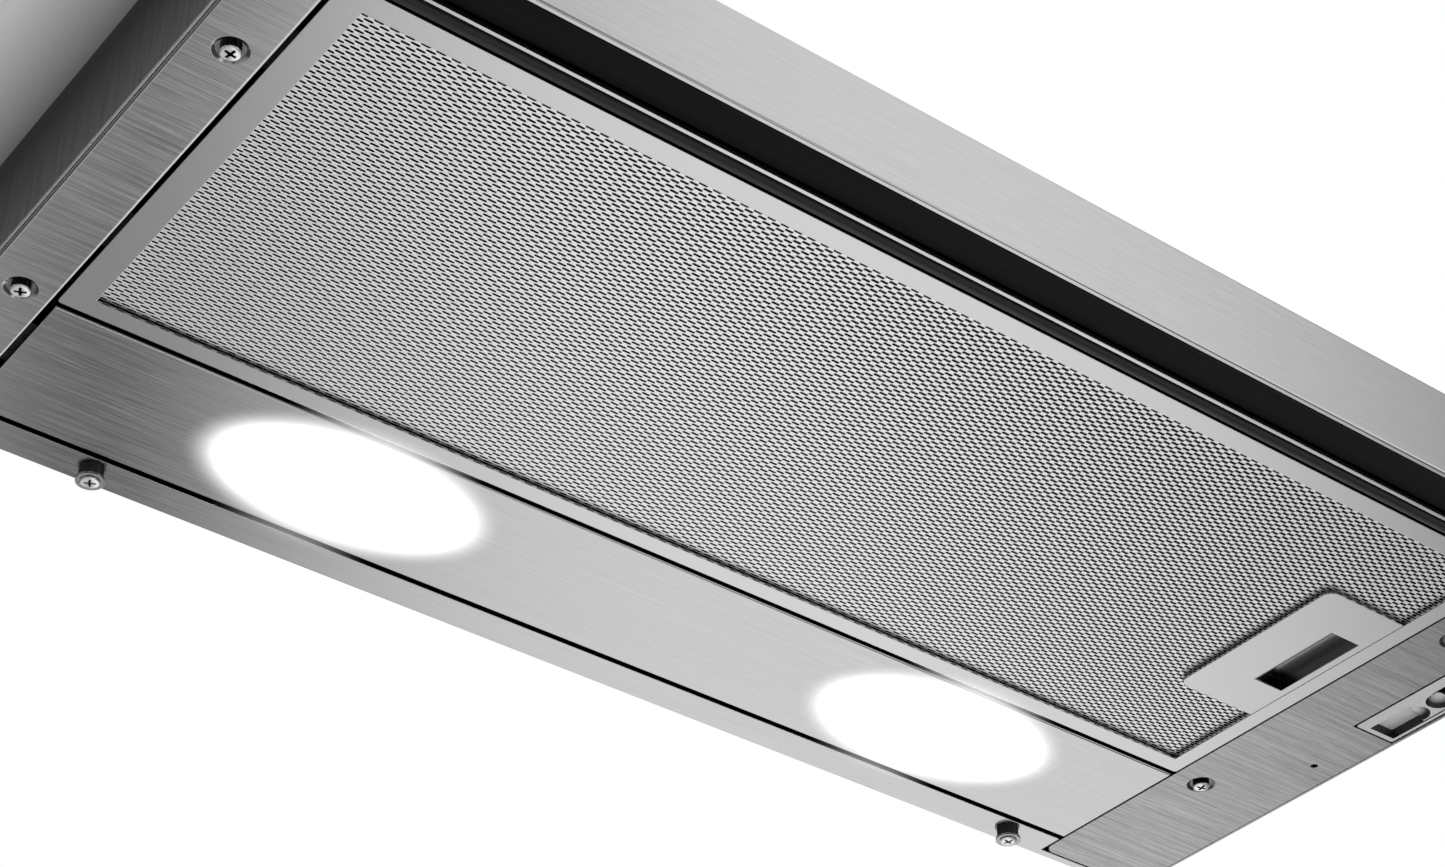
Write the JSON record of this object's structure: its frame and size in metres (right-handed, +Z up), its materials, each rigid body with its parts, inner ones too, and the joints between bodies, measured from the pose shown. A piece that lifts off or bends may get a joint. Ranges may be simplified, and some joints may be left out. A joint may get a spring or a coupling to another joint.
{
  "type": "slide-out range hood",
  "caption": "Slim hood for under a wall cabinet: brushed steel underside, grease filter with latch, oval lamps, slide switches, pull-out visor, blower box and duct collar.",
  "frame": {"origin": "middle of the four fixing holes, on the top face of the tray deck that lies against the cabinet", "axes": "+X along the width to the right seen from the front, +Y towards the wall, +Z up"},
  "size_m": [0.598, 0.2985, 0.2116],
  "materials": {
    "stainless_brushed": "satin, straight brushed grain",
    "side_steel": "satin, upright brushed grain",
    "galvanised_steel": "matt zinc with a faint spangle",
    "satin_aluminium": "satin anodised",
    "aluminium_mesh": "bright expanded sheet",
    "dark_coated_steel": "satin black coat over brushed grain",
    "black_rubber": "soft satin",
    "chromed_steel": "polished",
    "opal_plastic": "opal, lit",
    "white_plastic": "moulded",
    "black_plastic": "fine moulded texture",
    "grey_switch_plastic": "metallic satin paint",
    "motor_metal": "stamped steel, satin",
    "bearing_bronze": "sintered bronze"
  },
  "bodies": {
    "hood_body": {"side_wall_left": "side_steel", "side_wall_right": "side_steel", "rear_wall": "stainless_brushed", "top_deck": "galvanised_steel", "left_panel": "stainless_brushed", "control_panel": "stainless_brushed", "lamp_panel": "stainless_brushed", "front_cross_rail": "stainless_brushed", "front_seal_bar": "black_rubber", "panel_brackets": "galvanised_steel", "panel_screws": "chromed_steel", "rear_spacers": "black_plastic", "rear_washers": "satin_aluminium", "rear_screws": "chromed_steel", "lamp_lens_left": "opal_plastic", "lamp_lens_right": "opal_plastic", "lamp_holder_left": "white_plastic", "lamp_holder_right": "white_plastic", "led_boards": "white_plastic", "led_driver": "white_plastic", "switch_bezel": "grey_switch_plastic", "light_switch": "black_plastic", "fan_switch": "black_plastic", "slide_rails": "galvanised_steel", "housing_shell": "galvanised_steel", "housing_end_left": "galvanised_steel", "housing_end_right": "galvanised_steel", "side_plate_left": "galvanised_steel", "side_plate_right": "galvanised_steel", "scroll_wrapper": "black_plastic", "scroll_sides": "black_plastic", "motor_body": "motor_metal", "motor_bearings": "bearing_bronze", "motor_bracket": "galvanised_steel", "run_capacitor": "white_plastic", "terminal_box": "black_plastic", "cable_gland": "black_plastic", "outlet_collar": "black_plastic", "damper_pin": "chromed_steel"},
    "visor": {"visor_fascia": "stainless_brushed", "fascia_stiffener": "galvanised_steel", "visor_pan": "dark_coated_steel", "visor_runners": "galvanised_steel", "visor_glides": "white_plastic"},
    "grease_filter": {"filter_frame": "satin_aluminium", "filter_mesh_face": "aluminium_mesh", "filter_mesh_core": "aluminium_mesh", "filter_mesh_back": "aluminium_mesh", "filter_hinge_tabs": "satin_aluminium"},
    "filter_latch": {"latch_handle": "satin_aluminium", "latch_tongue": "chromed_steel", "latch_springs": "chromed_steel"},
    "light_knob": {"light_slider": "grey_switch_plastic"},
    "fan_knob": {"fan_slider": "grey_switch_plastic"},
    "fan_wheel": {"impeller": "black_plastic", "impeller_shaft": "chromed_steel"},
    "damper_left": {"damper_flap_left": "black_plastic"},
    "damper_right": {"damper_flap_right": "black_plastic"}
  },
  "joints": [
    {"name": "visor_slide", "type": "slide", "parent": "hood_body", "child": "visor", "axis": [0, -1, 0], "range_m": [0, 0.16]},
    {"name": "filter_hinge", "type": "hinge", "parent": "hood_body", "child": "grease_filter", "pos_m": [-0.2708, -0.029, -0.0449], "axis": [0, 1, 0], "range_deg": [0, 85]},
    {"name": "latch_slide", "type": "slide", "parent": "grease_filter", "child": "filter_latch", "axis": [-1, 0, 0], "range_m": [0, 0.006], "stiffness_N_per_m": 500, "springref_m": -0.004, "deforming": ["latch_springs"]},
    {"name": "light_slide", "type": "slide", "parent": "hood_body", "child": "light_knob", "axis": [0, -1, 0], "range_m": [0, 0.008]},
    {"name": "fan_slide", "type": "slide", "parent": "hood_body", "child": "fan_knob", "axis": [0, -1, 0], "range_m": [0, 0.021]},
    {"name": "wheel_spin", "type": "hinge", "parent": "hood_body", "child": "fan_wheel", "pos_m": [0, 0.022, 0.0666], "axis": [1, 0, 0], "continuous": true},
    {"name": "damper_left_hinge", "type": "hinge", "parent": "hood_body", "child": "damper_left", "pos_m": [0, 0.049, 0.1446], "axis": [0, 1, 0], "range_deg": [0, 80]},
    {"name": "damper_right_hinge", "type": "hinge", "parent": "hood_body", "child": "damper_right", "pos_m": [0, 0.049, 0.1446], "axis": [0, 1, 0], "range_deg": [-80, 0]}
  ]
}
